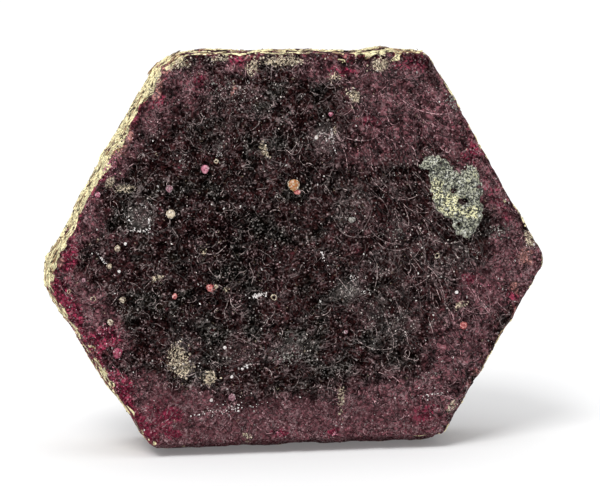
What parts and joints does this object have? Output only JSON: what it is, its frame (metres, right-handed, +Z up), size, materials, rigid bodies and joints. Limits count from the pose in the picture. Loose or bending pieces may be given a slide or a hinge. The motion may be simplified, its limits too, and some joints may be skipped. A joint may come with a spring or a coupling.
{
  "type": "ruby crystal",
  "caption": "Thick six-sided tabular ruby crystal, rough and dark, with mica crust on its sides and a patch of host rock on its face.",
  "frame": {"origin": "centre of the bounding box, on the surface that the crystal stands on", "axes": "+Z up; +X to the right along the wide basal face, which looks towards -Y; +Y back through the plate"},
  "size_m": [0.0464, 0.0128, 0.0368],
  "materials": {
    "ruby": "rough natural crystal face with fine glints"
  },
  "bodies": {
    "root": {"ruby_crystal": "ruby"}
  },
  "joints": []
}
